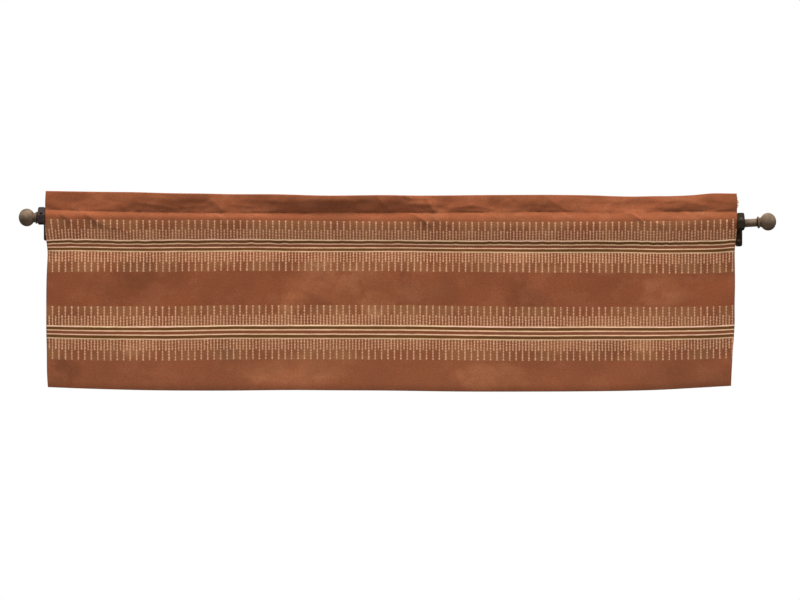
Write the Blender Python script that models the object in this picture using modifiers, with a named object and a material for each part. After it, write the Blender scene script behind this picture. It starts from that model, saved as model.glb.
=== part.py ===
"""A rod-pocket window valance on its rod, with two ball finials and two wall brackets.

Frame: +X along the rod, -Y into the room, +Z up. The origin lies on the wall plane, midway
between the brackets, at the rod's nominal height. Metres; tables are in millimetres.
"""
from collections import namedtuple
from math import acos, cos, pi, radians, sin

import bmesh
import bpy
from mathutils import Matrix, Vector

MM = 0.001

# ---- Rod, finials and brackets -----------------------------------------------------------
PROJECTION = 0.057            # rod axis to the wall
ROD_RADIUS = 0.008
ROD_LEFT = -0.7026            # the rod's two ends along X
ROD_RIGHT = 0.7275
ROD_STATIONS = 24
SLOPE_STEP = 0.002            # the rod's slope is read over this much to each side
PIECE_GAP = 0.0003            # air left between touching pieces
MERGE_DISTANCE = 0.00001      # nearer points of a mesh are one point

BALL_RADIUS = 0.0177          # finial: a slightly flattened ball, a neck and a bead collar
BALL_HALF_LENGTH = 0.016
NECK_RADIUS = 0.0094
NECK_LENGTH = 0.002
COLLAR_RADIUS = 0.012
BEAD_RADIUS = 0.002
BEAD_LIFT = 0.0002            # the bead clears the collar's end face
FINIAL_REACH = 0.0215         # ball centre to the collar's end face
RIGHT_FINIAL_TILT = 0.075     # slope of the loosely seated right finial

BRACKET_X = 0.6951            # cradle centre, left and right of the origin
CRADLE_WIDTH = 0.0142
SLOT_RADIUS = 0.0087
WALL_OF_CRADLE = 0.0045
LIP_LEAN = radians(40)        # the cradle's front lip leans back over the rod
LIP_TOP = 0.0215              # above the rod axis
CRADLE_BOTTOM = -0.0135
CRADLE_CHAMFER = 0.004        # cut off its lower front edge
CRADLE_CORNER = 0.003         # its upper corners, seen from the room
CRADLE_TAPER = 0.002          # it narrows so much on each side, below the taper's start
TAPER_START = -0.008
SIDE_CLEARANCE = 0.001        # the front outline runs so far below the cradle
BACK_WALL_TOP = 0.003
ARM_WIDTH = 0.008
ARM_HEIGHT = 0.008
ARM_RAISED = 0.0006           # the arm's underside above the cradle's
ARM_OVERLAP = 0.001           # the arm runs so far into the cradle and the plate
PLATE_WIDTH = 0.0142
PLATE_TOP = 0.020
PLATE_BOTTOM = -0.0445
PLATE_THICKNESS = 0.003
PLATE_CORNER = 0.004
PLATE_SHIFT = 0.0036          # both castings carry the plate a little to the right
WALL_SCREW_HEIGHTS = {"lower": -0.0335, "upper": 0.0125}

SCREW_HEAD_RADIUS = 0.0031
SCREW_HEAD_HEIGHT = 0.0016
SCREW_SHANK_RADIUS = 0.0016
HOLE_RADIUS = 0.002
SET_HOLE_LENGTH = 0.02        # lengths of the cutters, each longer than its hole
WALL_HOLE_LENGTH = 0.012
FRONT_CUTTER_DEPTH = 0.05

# ---- Cloth -------------------------------------------------------------------------------
CLOTH_THICKNESS = 0.0016
LAYER_HALF_GAP = 0.00105      # half the distance between the middles of two stitched layers
CLOTH_ON_ROD = ROD_RADIUS + 0.0004 + CLOTH_THICKNESS / 2     # middle of the cloth to the axis
POCKET_FULLNESS = 2.2         # how full the pocket's curve is above the rod, and below it
POCKET_SLACK = 1.5
POCKET_TAIL = 0.004           # back layer below the pocket's lower stitching
HEM_DEPTH = 0.0254
FLARE = 0.0009                # how far the panel swings forward below the stitching
FLARE_DEPTH = 0.034
CLOTH_COLUMNS = 36

RodPoint = namedtuple("RodPoint", "x z")
ROD_LINE = [                  # the rod's sag between its brackets
    RodPoint(-703, 5.7), RodPoint(-345, -1.5), RodPoint(0, -5.5), RodPoint(345, -7.4),
    RodPoint(590, -8.2), RodPoint(665, -7.2), RodPoint(700, -5.6), RodPoint(728, -3.9),
]

# Heights of the cloth's lines across its width, with how far forward (+) the header's top
# edge, the middle of the panel and the hem stand.
Hang = namedtuple("Hang", "x top crease seam hem lean belly sweep")
HANG = [
    Hang(-687, 58.9, 23.0, -50.2, -331.5, -2.1, -2.0, -3.0),
    Hang(-598, 57.9, 19.4, -50.2, -334.7, -3.2, 1.0, 0.5),
    Hang(-478, 56.0, 17.2, -51.6, -337.6, 2.0, -1.5, 1.0),
    Hang(-339, 53.0, 14.8, -51.6, -338.3, -1.8, 1.0, -1.0),
    Hang(-200, 51.4, 14.6, -51.4, -337.1, 5.0, -0.5, 1.0),
    Hang(-110, 51.1, 14.6, -51.5, -337.7, 8.6, 0.5, -0.5),
    Hang(0, 51.0, 14.6, -51.6, -338.3, 4.7, 1.5, -1.5),
    Hang(138, 50.8, 14.8, -52.4, -340.0, -3.0, -1.0, 1.0),
    Hang(297, 51.4, 16.4, -53.0, -340.2, -1.0, 1.0, 0.0),
    Hang(436, 48.8, 15.2, -53.6, -339.3, -8.6, -1.0, 1.5),
    Hang(535, 49.2, 17.0, -53.6, -337.1, -5.6, 1.0, 0.0),
    Hang(615, 52.8, 17.6, -52.8, -332.9, -3.0, -1.5, -2.0),
    Hang(687, 53.6, 16.4, -50.6, -329.1, -3.0, -4.0, -8.0),
]

# Where the two side edges hang, at falling heights.
Side = namedtuple("Side", "z left right")
SIDES = [
    Side(60, 686.4, 686.8), Side(38, 687.4, 687.4), Side(-5, 687.3, 687.0),
    Side(-44, 685.0, 684.5), Side(-65, 683.2, 682.3), Side(-115, 685.3, 683.7),
    Side(-165, 686.0, 683.4), Side(-211, 686.0, 683.5), Side(-258, 685.1, 680.1),
    Side(-306, 684.3, 677.5), Side(-341, 682.3, 676.5),
]


# ---- Helpers -----------------------------------------------------------------------------
def read_smooth(table, key, column, where):
    """A smooth curve through one column of a table, read at a place in millimetres."""
    rows = sorted(table, key=lambda row: getattr(row, key))
    places = [getattr(row, key) for row in rows]
    values = [getattr(row, column) for row in rows]
    where = min(max(where, places[0]), places[-1])
    last = len(rows) - 1
    i = max(k for k in range(last) if places[k] <= where)

    def slope(k):
        before, after = max(k - 1, 0), min(k + 1, last)
        return (values[after] - values[before]) / (places[after] - places[before])

    span = places[i + 1] - places[i]
    t = (where - places[i]) / span
    return (values[i] * (1 + 2 * t) * (1 - t) ** 2 + slope(i) * span * t * (1 - t) ** 2
            + values[i + 1] * t * t * (3 - 2 * t) - slope(i + 1) * span * t * t * (1 - t))


def rod_height(x):
    return read_smooth(ROD_LINE, "x", "z", x / MM) * MM


def rod_slope(x):
    return (rod_height(x + SLOPE_STEP) - rod_height(x - SLOPE_STEP)) / (2 * SLOPE_STEP)


def ease(t):
    t = min(max(t, 0.0), 1.0)
    return t * t * (3 - 2 * t)


def make_material(name, colour, roughness, metallic):
    material = bpy.data.materials.new(name)
    material.use_nodes = True
    shader = material.node_tree.nodes["Principled BSDF"]
    shader.inputs["Base Color"].default_value = (*colour, 1)
    shader.inputs["Roughness"].default_value = roughness
    shader.inputs["Metallic"].default_value = metallic
    return material


def add_object(name, data, collection, material=None):
    obj = bpy.data.objects.new(name, data)
    collection.objects.link(obj)
    if material:
        data.materials.append(material)
    return obj


def hide_as_cutter(obj):
    obj.hide_render = True
    obj.display_type = "WIRE"


def add_boolean(obj, operation, other):
    modifier = obj.modifiers.new(operation.title(), "BOOLEAN")
    modifier.operation = operation
    modifier.solver = "EXACT"
    modifier.object = other


def extruded_outline(name, points, thickness, matrix, collection):
    """A flat outline given thickness, made a mesh. The outline's plane is the matrix's XY."""
    curve = bpy.data.curves.new(name, "CURVE")
    curve.dimensions = "2D"
    curve.fill_mode = "BOTH"
    curve.extrude = thickness / 2
    spline = curve.splines.new("POLY")
    spline.points.add(len(points) - 1)
    for point, (across, up) in zip(spline.points, points):
        point.co = (across, up, 0, 1)
    spline.use_cyclic_u = True
    outline = add_object(name + "_outline", curve, collection)
    evaluated = outline.evaluated_get(bpy.context.evaluated_depsgraph_get())
    mesh = bpy.data.meshes.new_from_object(evaluated)
    bpy.data.objects.remove(outline)
    bm = bmesh.new()
    bm.from_mesh(mesh)
    bmesh.ops.remove_doubles(bm, verts=bm.verts, dist=MERGE_DISTANCE)
    bmesh.ops.recalc_face_normals(bm, faces=bm.faces)
    bm.to_mesh(mesh)
    bm.free()
    mesh.shade_flat()
    obj = add_object(name, mesh, collection)
    obj.matrix_world = matrix
    return obj


def turned(name, profile, steps, collection, material):
    """A solid turned about its own Z from (radius, height) points, top to bottom."""
    mesh = bpy.data.meshes.new(name)
    vertices = [(radius, 0, height) for radius, height in profile]
    edges = [(i, i + 1) for i in range(len(profile) - 1)]
    mesh.from_pydata(vertices, edges, [])
    obj = add_object(name, mesh, collection, material)
    screw = obj.modifiers.new("Turn", "SCREW")
    screw.axis = "Z"
    screw.steps = steps
    screw.render_steps = steps
    screw.use_merge_vertices = True
    screw.merge_threshold = MERGE_DISTANCE
    screw.use_smooth_shade = True
    return obj


def arc(centre, radius, start, end, steps):
    return [(centre[0] + radius * cos(start + (end - start) * i / steps),
             centre[1] + radius * sin(start + (end - start) * i / steps))
            for i in range(steps + 1)]


# ---- Cloth -------------------------------------------------------------------------------
def pocket_side(crease, seam):
    """One side of the rod pocket, from its upper to its lower stitching, as (out, up) from
    the rod axis: a full curve down to the rod's side, and a slacker one on down."""
    reach = CLOTH_ON_ROD - LAYER_HALF_GAP
    upper_steps, lower_steps = 4, 5
    path = []
    for i in range(upper_steps + 1):
        left = 1 - i / upper_steps
        path.append((LAYER_HALF_GAP + reach * (1 - left ** POCKET_FULLNESS), crease * left))
    for i in range(1, lower_steps + 1):
        share = i / lower_steps
        path.append((LAYER_HALF_GAP + reach * (1 - share ** POCKET_SLACK), seam * share))
    return path


def cloth_section(x):
    """The middle of the cloth at one place along the rod, as (out, z): up the pocket's back,
    over the header, down the front and round the hem."""
    hang = {column: read_smooth(HANG, "x", column, x / MM) * MM for column in Hang._fields[1:]}
    rod = rod_height(x)
    fold = LAYER_HALF_GAP + CLOTH_THICKNESS / 2
    front = [(out, rod + up) for out, up in pocket_side(hang["crease"] - rod, hang["seam"] - rod)]
    back = [(-out, z) for out, z in reversed(front)]
    back.insert(0, (-LAYER_HALF_GAP, hang["seam"] - POCKET_TAIL))

    top = hang["top"] - fold
    header_steps = 3
    header = [hang["crease"] + (top - hang["crease"]) * i / header_steps
              for i in range(1, header_steps + 1)]

    def lean(z):
        return hang["lean"] * (z - hang["crease"]) / (top - hang["crease"])

    header_back = [(lean(z) - LAYER_HALF_GAP, z) for z in header]
    header_front = [(lean(z) + LAYER_HALF_GAP, z) for z in reversed(header)]
    top_fold = arc((hang["lean"], top), LAYER_HALF_GAP, pi, 0, 4)[1:-1]

    bottom = hang["hem"] + fold

    def panel(z):
        down = (hang["seam"] - z) / (hang["seam"] - bottom)
        swing = FLARE * ease((hang["seam"] - z) / FLARE_DEPTH)
        return (LAYER_HALF_GAP + swing + hang["belly"] * sin(pi * down)
                + hang["sweep"] * down ** 3)

    flare_steps, panel_steps, hem_steps = 4, 7, 2
    levels = [hang["seam"] - FLARE_DEPTH * i / flare_steps for i in range(1, flare_steps + 1)]
    start = levels[-1]
    levels += [start + (bottom - start) * i / panel_steps for i in range(1, panel_steps + 1)]
    face = [(panel(z), z) for z in levels]
    bottom_fold = arc((panel(bottom) - LAYER_HALF_GAP, bottom), LAYER_HALF_GAP, 0, -pi, 4)[1:]
    hem_levels = [bottom + HEM_DEPTH * i / hem_steps for i in range(1, hem_steps + 1)]
    hem = [(panel(z) - 2 * LAYER_HALF_GAP, z) for z in hem_levels]
    return back + header_back + top_fold + header_front + front[1:] + face + bottom_fold + hem


def make_cloth(collection, material):
    bm = bmesh.new()
    columns = []
    for column in range(CLOTH_COLUMNS + 1):
        across = column / CLOTH_COLUMNS
        middle = (across - 0.5) * 2 * HANG[-1].x * MM
        vertices = []
        for out, z in cloth_section(middle):
            left = -read_smooth(SIDES, "z", "left", z / MM) * MM
            right = read_smooth(SIDES, "z", "right", z / MM) * MM
            x = left + (right - left) * across
            vertices.append(bm.verts.new((x, -PROJECTION - out, z)))
        columns.append(vertices)
    for one, other in zip(columns, columns[1:]):
        for row in range(len(one) - 1):
            bm.faces.new((one[row], one[row + 1], other[row + 1], other[row]))
    bmesh.ops.recalc_face_normals(bm, faces=bm.faces)
    mesh = bpy.data.meshes.new("valance_cloth")
    bm.to_mesh(mesh)
    bm.free()
    mesh.shade_smooth()
    cloth = add_object("valance_cloth", mesh, collection, material)
    shell = cloth.modifiers.new("Thickness", "SOLIDIFY")
    shell.thickness = CLOTH_THICKNESS
    shell.offset = 0
    shell.use_even_offset = True
    shell.use_quality_normals = True


# ---- Rod and finials ---------------------------------------------------------------------
def make_rod(collection, material):
    curve = bpy.data.curves.new("rod", "CURVE")
    curve.dimensions = "3D"
    curve.bevel_depth = ROD_RADIUS
    curve.bevel_resolution = 4
    curve.use_fill_caps = True
    spline = curve.splines.new("POLY")
    spline.points.add(ROD_STATIONS - 1)
    for i, point in enumerate(spline.points):
        x = ROD_LEFT + (ROD_RIGHT - ROD_LEFT) * i / (ROD_STATIONS - 1)
        point.co = (x, -PROJECTION, rod_height(x), 1)
    add_object("rod", curve, collection, material)


def make_finial(name, collar_x, side, slope, collection, material):
    """A finial whose collar faces the rod's end at collar_x; side is -1 left and +1 right."""
    junction = BALL_HALF_LENGTH * (1 - (NECK_RADIUS / BALL_RADIUS) ** 2) ** 0.5
    pole_to_neck = [(BALL_RADIUS * cos(angle), BALL_HALF_LENGTH * sin(angle))
                    for angle in (pi / 2 - i * (pi / 2) / 8 for i in range(9))]
    under = [(BALL_RADIUS * cos(angle), -BALL_HALF_LENGTH * sin(angle))
             for angle in (i * acos(NECK_RADIUS / BALL_RADIUS) / 5 for i in range(1, 6))]
    pole_to_neck[0] = (0, BALL_HALF_LENGTH)
    bead = (COLLAR_RADIUS - BEAD_RADIUS, -FINIAL_REACH + BEAD_RADIUS + BEAD_LIFT)
    collar = [(NECK_RADIUS, -junction - NECK_LENGTH)] + arc(bead, BEAD_RADIUS, pi / 2, -pi / 2, 4)
    end = [(NECK_RADIUS, -FINIAL_REACH), (0, -FINIAL_REACH)]
    finial = turned(name, pole_to_neck + under + collar + end, 24, collection, material)
    direction = Vector((side, 0, side * slope)).normalized()
    turn = direction.to_track_quat("Z", "Y").to_matrix().to_4x4()
    face = Vector((collar_x, -PROJECTION, rod_height(collar_x)))
    finial.matrix_world = Matrix.Translation(face + direction * FINIAL_REACH) @ turn


# ---- Brackets and screws -----------------------------------------------------------------
def cradle_side_outline():
    """The cradle seen along the rod, as (out, up) from the rod axis: a hook that holds the
    rod from below, with a front lip leaning back over it."""
    outer = SLOT_RADIUS + WALL_OF_CRADLE
    normal = (cos(LIP_LEAN), sin(LIP_LEAN))
    along = (-sin(LIP_LEAN), cos(LIP_LEAN))
    length = (LIP_TOP - outer * normal[1]) / along[1]
    outer_tip = (outer * normal[0] + length * along[0], LIP_TOP)
    inner_tip = (SLOT_RADIUS * normal[0] + length * along[0],
                 SLOT_RADIUS * normal[1] + length * along[1])
    slot = arc((0, 0), SLOT_RADIUS, LIP_LEAN, -pi, 14)
    front = (outer, (outer - outer * normal[0]) / normal[1])
    return ([outer_tip, inner_tip] + slot
            + [(-SLOT_RADIUS, BACK_WALL_TOP), (-outer, BACK_WALL_TOP), (-outer, CRADLE_BOTTOM),
               (outer - CRADLE_CHAMFER, CRADLE_BOTTOM),
               (outer, CRADLE_BOTTOM + CRADLE_CHAMFER), front])


def cradle_front_outline():
    """The cradle seen from the room, as (x, up): round upper and cut lower corners."""
    half, corner = CRADLE_WIDTH / 2, CRADLE_CORNER
    centre = (half - corner, LIP_TOP - corner)
    right = [(half - CRADLE_TAPER, CRADLE_BOTTOM - SIDE_CLEARANCE), (half, TAPER_START)]
    right += arc(centre, corner, 0, pi / 2, 4)
    return right + [(-x, up) for x, up in reversed(right)]


def plate_outline():
    half, corner = PLATE_WIDTH / 2, PLATE_CORNER
    upper = arc((half - corner, PLATE_TOP - corner), corner, 0, pi / 2, 3)
    lower = arc((half - corner, PLATE_BOTTOM + corner), corner, -pi / 2, 0, 3)
    right = lower + upper
    return right + [(-x, up) for x, up in reversed(right)]


def make_screw(name, matrix, shank, collection, material):
    """A round-headed screw: the underside of its head is at the matrix's origin and the
    head rises along its Z."""
    dome = [(SCREW_HEAD_RADIUS * cos(angle), SCREW_HEAD_HEIGHT * sin(angle))
            for angle in (pi / 2 * (1 - i / 4) for i in range(5))]
    dome[0] = (0, SCREW_HEAD_HEIGHT)
    profile = dome + [(SCREW_SHANK_RADIUS, 0), (SCREW_SHANK_RADIUS, -shank), (0, -shank)]
    screw = turned(name, profile, 12, collection, material)
    screw.matrix_world = matrix


def hole_cutter(name, matrix, length, collection):
    bm = bmesh.new()
    bmesh.ops.create_cone(bm, cap_ends=True, segments=12, radius1=HOLE_RADIUS,
                          radius2=HOLE_RADIUS, depth=length)
    mesh = bpy.data.meshes.new(name)
    bm.to_mesh(mesh)
    bm.free()
    cutter = add_object(name, mesh, collection)
    cutter.matrix_world = matrix
    hide_as_cutter(cutter)
    return cutter


def make_bracket(label, x, collections, materials):
    parts, cutters = collections
    axis = Vector((x, -PROJECTION, rod_height(x)))
    # Outline planes: the side outline's across axis points into the room.
    side_plane = Matrix(((0, 0, 1), (-1, 0, 0), (0, 1, 0))).to_4x4()
    front_plane = Matrix(((1, 0, 0), (0, 0, -1), (0, 1, 0))).to_4x4()

    bracket = extruded_outline("bracket_" + label, cradle_side_outline(), CRADLE_WIDTH,
                               Matrix.Translation(axis) @ side_plane, parts)
    bracket.data.materials.append(materials["bracket"])
    front = extruded_outline("cradle_front_" + label, cradle_front_outline(), FRONT_CUTTER_DEPTH,
                             Matrix.Translation(axis) @ front_plane, cutters)
    plate_centre = Vector((x + PLATE_SHIFT, -PLATE_THICKNESS / 2, axis.z))
    plate = extruded_outline("plate_" + label, plate_outline(), PLATE_THICKNESS,
                             Matrix.Translation(plate_centre) @ front_plane, cutters)
    arm_start = -PROJECTION + SLOT_RADIUS + WALL_OF_CRADLE - ARM_OVERLAP
    arm_end = -PLATE_THICKNESS + ARM_OVERLAP
    bpy.ops.mesh.primitive_cube_add(size=1)
    arm = bpy.context.object
    arm.name = "arm_" + label
    arm.data.transform(Matrix.Diagonal((ARM_WIDTH, arm_end - arm_start, ARM_HEIGHT, 1)))
    arm.location = (x + PLATE_SHIFT / 2, (arm_start + arm_end) / 2,
                    axis.z + CRADLE_BOTTOM + ARM_RAISED + ARM_HEIGHT / 2)
    for collection in arm.users_collection:
        collection.objects.unlink(arm)
    cutters.objects.link(arm)

    add_boolean(bracket, "INTERSECT", front)
    add_boolean(bracket, "UNION", arm)
    add_boolean(bracket, "UNION", plate)
    for piece in (front, plate, arm):
        hide_as_cutter(piece)

    lip_normal = Vector((0, -cos(LIP_LEAN), sin(LIP_LEAN)))
    lip_turn = lip_normal.to_track_quat("Z", "Y").to_matrix().to_4x4()
    outer = SLOT_RADIUS + WALL_OF_CRADLE
    seat = Matrix.Translation(axis + lip_normal * (outer + PIECE_GAP)) @ lip_turn
    shank = outer - ROD_RADIUS - PIECE_GAP
    make_screw("set_screw_" + label, seat, shank, parts, materials["screw"])
    cutter = hole_cutter("set_hole_" + label, seat, SET_HOLE_LENGTH, cutters)
    add_boolean(bracket, "DIFFERENCE", cutter)

    plate_normal = Vector((0, -1, 0))
    plate_turn = plate_normal.to_track_quat("Z", "Y").to_matrix().to_4x4()
    for level, height in WALL_SCREW_HEIGHTS.items():
        face = Vector((plate_centre.x, -PLATE_THICKNESS - PIECE_GAP, axis.z + height))
        seat = Matrix.Translation(face) @ plate_turn
        name = f"wall_screw_{label}_{level}"
        make_screw(name, seat, PLATE_THICKNESS, parts, materials["screw"])
        cutter = hole_cutter(f"wall_hole_{label}_{level}", seat, WALL_HOLE_LENGTH, cutters)
        add_boolean(bracket, "DIFFERENCE", cutter)


# ---- The whole part ----------------------------------------------------------------------
def build():
    for obj in list(bpy.data.objects):
        bpy.data.objects.remove(obj)
    parts = bpy.data.collections.new("window_valance")
    cutters = bpy.data.collections.new("cutters")
    for collection in (parts, cutters):
        bpy.context.scene.collection.children.link(collection)

    cloth = make_material("terracotta_cloth", (0.25, 0.08, 0.035), 0.9, 0.0)
    brass = make_material("antique_brass", (0.22, 0.15, 0.08), 0.4, 1.0)
    materials = {
        "bracket": make_material("black_bronze", (0.02, 0.017, 0.015), 0.5, 0.6),
        "screw": make_material("dark_screw", (0.06, 0.05, 0.045), 0.4, 0.8),
    }

    make_cloth(parts, cloth)
    make_rod(parts, brass)
    left_slope = rod_slope(ROD_LEFT + SLOPE_STEP)
    make_finial("finial_left", ROD_LEFT - PIECE_GAP, -1, left_slope, parts, brass)
    make_finial("finial_right", ROD_RIGHT + PIECE_GAP, 1, RIGHT_FINIAL_TILT, parts, brass)
    for label, x in (("left", -BRACKET_X), ("right", BRACKET_X)):
        make_bracket(label, x, (parts, cutters), materials)


build()
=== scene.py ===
"""The looks of a rod-pocket window valance that hangs on its rod between two wall brackets.

Frame: +X along the rod, -Y into the room, +Z up; the origin lies on the wall plane. The cloth's
tables and its working sizes are in millimetres, all else is in metres.
"""
from collections import namedtuple
from math import acos, atan2, cos, exp, hypot, pi, radians, sin

import bmesh
import bpy
from mathutils import Matrix, Vector, noise


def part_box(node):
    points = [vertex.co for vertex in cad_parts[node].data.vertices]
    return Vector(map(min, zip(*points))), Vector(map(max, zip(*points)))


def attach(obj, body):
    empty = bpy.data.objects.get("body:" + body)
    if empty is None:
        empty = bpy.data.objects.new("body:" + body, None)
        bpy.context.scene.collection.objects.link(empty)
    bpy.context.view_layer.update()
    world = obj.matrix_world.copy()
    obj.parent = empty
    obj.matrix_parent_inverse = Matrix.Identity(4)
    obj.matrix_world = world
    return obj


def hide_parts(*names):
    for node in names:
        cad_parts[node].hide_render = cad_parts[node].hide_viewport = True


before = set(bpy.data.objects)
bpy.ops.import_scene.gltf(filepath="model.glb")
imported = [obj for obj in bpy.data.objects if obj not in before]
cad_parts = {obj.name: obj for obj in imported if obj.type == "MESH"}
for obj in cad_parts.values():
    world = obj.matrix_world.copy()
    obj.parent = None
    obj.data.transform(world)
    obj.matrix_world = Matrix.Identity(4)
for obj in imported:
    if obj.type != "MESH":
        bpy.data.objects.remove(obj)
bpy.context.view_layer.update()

MM = 0.001


def table(columns, *rows):
    """A list of rows with named columns."""
    row_type = namedtuple("Row", columns)
    return [row_type(*row) for row in rows]


# ---- Rod, finials and brackets ----
rod_low, rod_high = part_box("rod")
ROD_LEFT, ROD_RIGHT = rod_low.x, rod_high.x
CRADLE_REACH = 0.0132  # the cradle's front stands so far in front of the rod's axis
PROJECTION = -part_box("bracket_left")[0].y - CRADLE_REACH  # rod axis to the wall
ROD_RADIUS = 0.008
ROD_STATIONS = 40
ROD_SIDES = 48
SLOPE_STEP = 0.004  # the rod's slope at its left end is read over this much
TINY = 0.00002  # too small to see: points nearer than this are one
PIECE_GAP = 0.0003  # air left between touching pieces
SAME_POINT = 1e-7

BALL_RADIUS = 0.0177  # finial: a slightly flattened ball, a neck and a bead collar
BALL_HALF_LENGTH = 0.016
BALL_STEPS = 30
NECK_RADIUS = 0.0094
NECK_WAIST = 0.0002  # the neck is thinner by so much halfway along
NECK_FILLET = 0.0006  # rounds the neck into the ball and the bead
FILLET_TURN = 0.06  # the ball's curve stops so far short of the neck, in radians
COLLAR_RADIUS = 0.012
BEAD_RADIUS = 0.002
BEAD_STEPS = 10
BEAD_LIFT = 0.0002  # the bead clears the collar's end face
FINIAL_REACH = 0.0215  # ball centre to the collar's end face
FINIAL_STEPS = 64
RIGHT_FINIAL_TILT = 0.075  # slope of the loosely seated right finial
EDGE_ROUNDING = 0.0006  # the brackets' edges
SHARP_ANGLE = radians(28)  # edges that turn by more are rounded
# The screws' metals differ from side to side, and so do the brackets' here: the left bracket's
# pale rubbed tone is partly wear and partly painted light, for the light its rounded upper lip
# catches.
HARDWARE = table(
    "kind side name base rubbed roughness gloss",
    ("bracket", "left", "black_bronze_worn", (40, 29, 25), (116, 104, 99), 0.42, 0.5),
    ("bracket", "right", "black_bronze_cast", (44, 36, 29), (60, 51, 43), 0.6, 0.06),
    ("screw", "left", "dark_screw_steel", (28, 22, 19), (50, 42, 36), 0.55, 0.1),
    ("screw", "right", "worn_screw_steel", (66, 60, 54), (104, 98, 90), 0.55, 0.3),
)

# ---- The cloth's hang, close to the solid's (millimetres) ----
THICKNESS = 1.2
HALF_GAP = 1.05  # half the distance between the middles of two stitched layers
CLOTH_ON_ROD = 9.2  # middle of the cloth to the rod's axis
POCKET_FULLNESS = 3.6  # how full the pocket's curve is above the rod,
POCKET_SHOULDER = 2.8  # how long it hangs straight under the stitching,
POCKET_SLACK = 1.5  # and how full it is below the rod
HEADER_FORWARD = 2.4  # the header stands in front of the rod's middle
HEADER_BULGE = 0.8  # the header's front layer stands off its back layer
LIP = 0.4  # the front layer comes out so far above a tuck of 1,
TUCK_REACH = 1.8  # over about this height
POCKET_TAIL = 4.0  # back layer below the pocket's lower stitching
HEM_DEPTH = 25.4
FLARE = 0.9  # how far the panel swings forward below the stitching
FLARE_DEPTH = 34.0
PINNED = 5.0  # folds fade out so near a line of stitching,
PANEL_PINNED = 12.0  # or this near it on the panel
PUCKER_REACH = 5.0  # the gathers beside stitching are greatest so far from it
FOLD_HALF = 0.7  # a fold ends so far from its middle, in its own lengths,
FOLD_FADE = 0.4  # and fades over this much
FOLD_SIDES = 4  # it reaches so many half widths to each side
CREST = 0.2  # how round a crisp fold is, in half widths
DENT, DENT_SLOPE = 0.2, 1 / 12  # the pocket dents at most so far, and more away from the rod
BULGE_SKEW = 0.8  # under 1, so that the header is fullest below its middle
CROWDING = 1.15  # over 1, so that the header's steps lie closer near the stitching

# Steps of the mesh: along the cloth, then down its section.
COLUMNS = 460
FRONT_STEPS = (14, 14)  # the pocket above and below the rod
BACK_STEPS = (7, 5)
HEADER_STEPS, BACK_HEADER_STEPS = 18, 7
FLARE_STEPS, PANEL_STEPS, HEM_STEPS = 6, 19, 4
BEND_STEPS = 5  # round the top fold, and round the bottom one

# Unevenness along the cloth: a seed, the size of its features, and its height.
UNEVEN = {
    "crease": (1, 23, 0.35), "seam": (2, 19, 0.3), "bulge": (5, 70, 0.35),
    "under crease": (3, 13, 0.5), "over seam": (4, 11, 0.6),
    "over crease": (6, 15, 0.5), "under seam": (7, 12, 0.5), "overlock": (11, 9, 0.5),
}
SEED_STEP = 7.31
# Crumples all over it: the size of their features, and their height.
HEADER_CRUMPLES = [(34, 0.45), (13, 0.2)]
PANEL_CRUMPLES = [(110, 0.6)]

# The rod's sag between its brackets.
ROD_LINE = table(
    "x z",
    (-703, 5.7), (-345, -1.5), (0, -5.5), (345, -7.4), (590, -8.2), (665, -7.2), (700, -5.6),
    (728, -3.9),
)

# Heights of the cloth's lines across its width, with how far forward (+) the middle of the
# panel and the hem stand.
HANG = table(
    "x crease seam hem belly sweep",
    (-687, 22.6, -50.2, -331.5, -2.0, -3.0), (-598, 18.7, -50.2, -334.7, 1.0, 0.5),
    (-478, 16.7, -51.6, -337.6, -1.5, 1.0), (-339, 14.8, -51.6, -338.3, 1.0, -1.0),
    (-200, 15.4, -51.4, -337.1, -0.5, 1.0), (-110, 15.6, -51.5, -337.7, 0.5, -0.5),
    (0, 15.7, -51.6, -338.3, 1.5, -1.5), (138, 15.9, -52.4, -340.0, -1.0, 1.0),
    (297, 17.3, -53.0, -340.2, 1.0, 0.0), (436, 16.2, -53.6, -339.3, -1.0, 1.5),
    (535, 17.8, -53.6, -337.1, 1.0, 0.0), (615, 18.4, -52.8, -332.9, -1.5, -2.0),
    (687, 17.2, -50.6, -329.1, -4.0, -8.0),
)

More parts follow.
